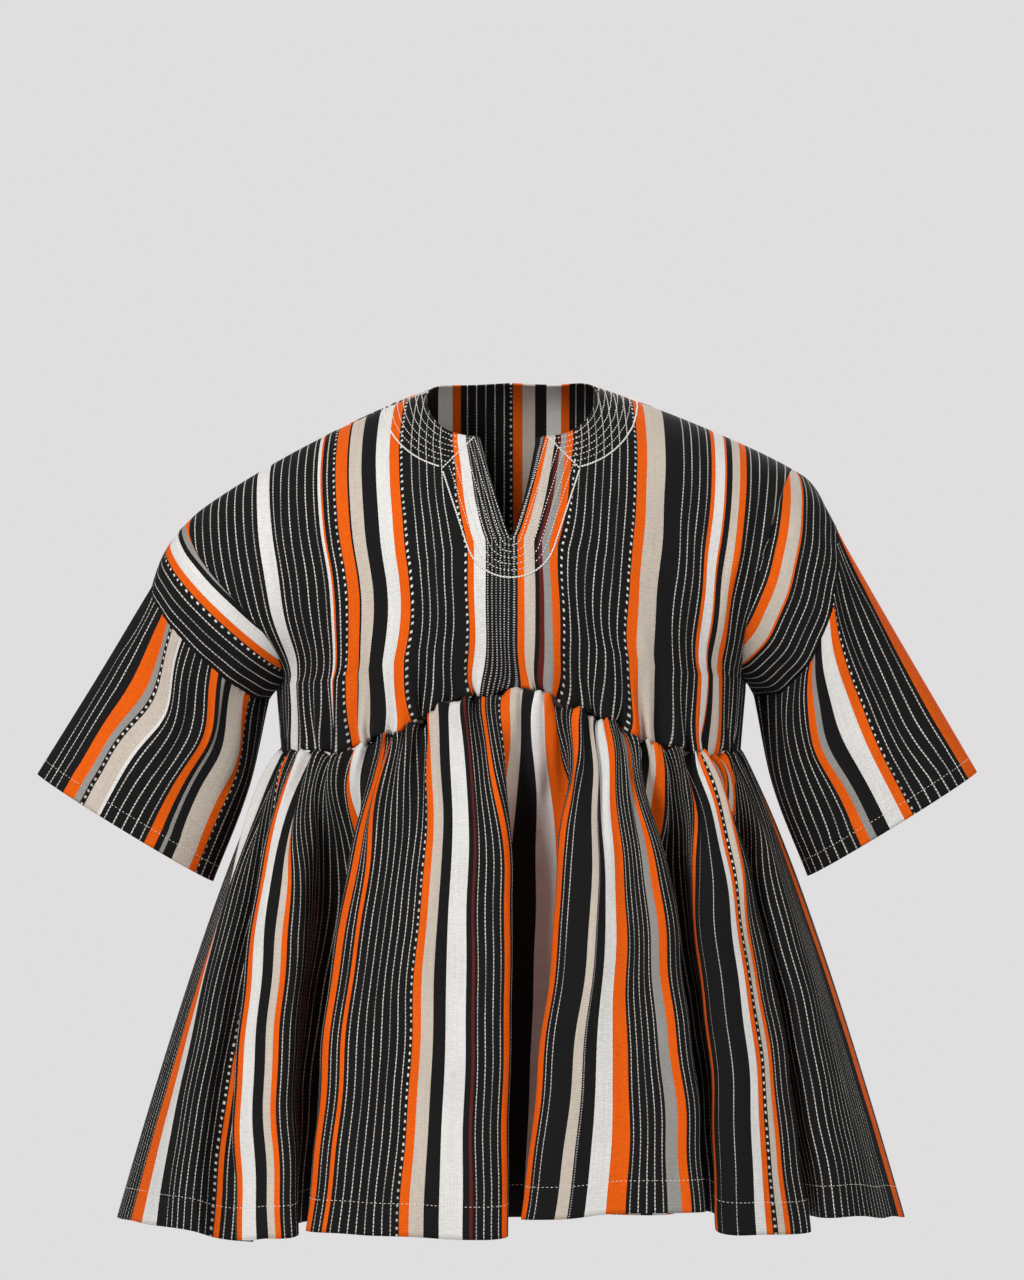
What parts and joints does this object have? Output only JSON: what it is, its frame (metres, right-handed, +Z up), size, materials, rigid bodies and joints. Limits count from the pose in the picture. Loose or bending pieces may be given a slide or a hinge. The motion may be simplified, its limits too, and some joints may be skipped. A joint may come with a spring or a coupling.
{
  "type": "fugu smock",
  "caption": "Loose pullover smock of hand-woven cotton strips: yoke with slit neck, gathered flaring skirt and short wide sleeves, hollow as worn.",
  "frame": {"origin": "middle of the neck hole, level with the tops of the shoulders beside the neck, where the wearer's shoulders carry the smock", "axes": "+Z up, -Y towards the front that the wearer faces, +X towards the wearer's left arm"},
  "size_m": [0.875, 0.4555, 0.7937],
  "materials": {
    "strip_cloth": "hand-woven cotton strips, black with white, cream, grey and orange stripes and fine pin lines, matt with visible weave"
  },
  "bodies": {
    "root": {"yoke_front": "strip_cloth", "yoke_back": "strip_cloth", "skirt_front": "strip_cloth", "skirt_back": "strip_cloth", "upper_sleeve_left": "strip_cloth", "upper_sleeve_right": "strip_cloth", "lower_sleeve_left": "strip_cloth", "lower_sleeve_right": "strip_cloth"}
  },
  "joints": []
}
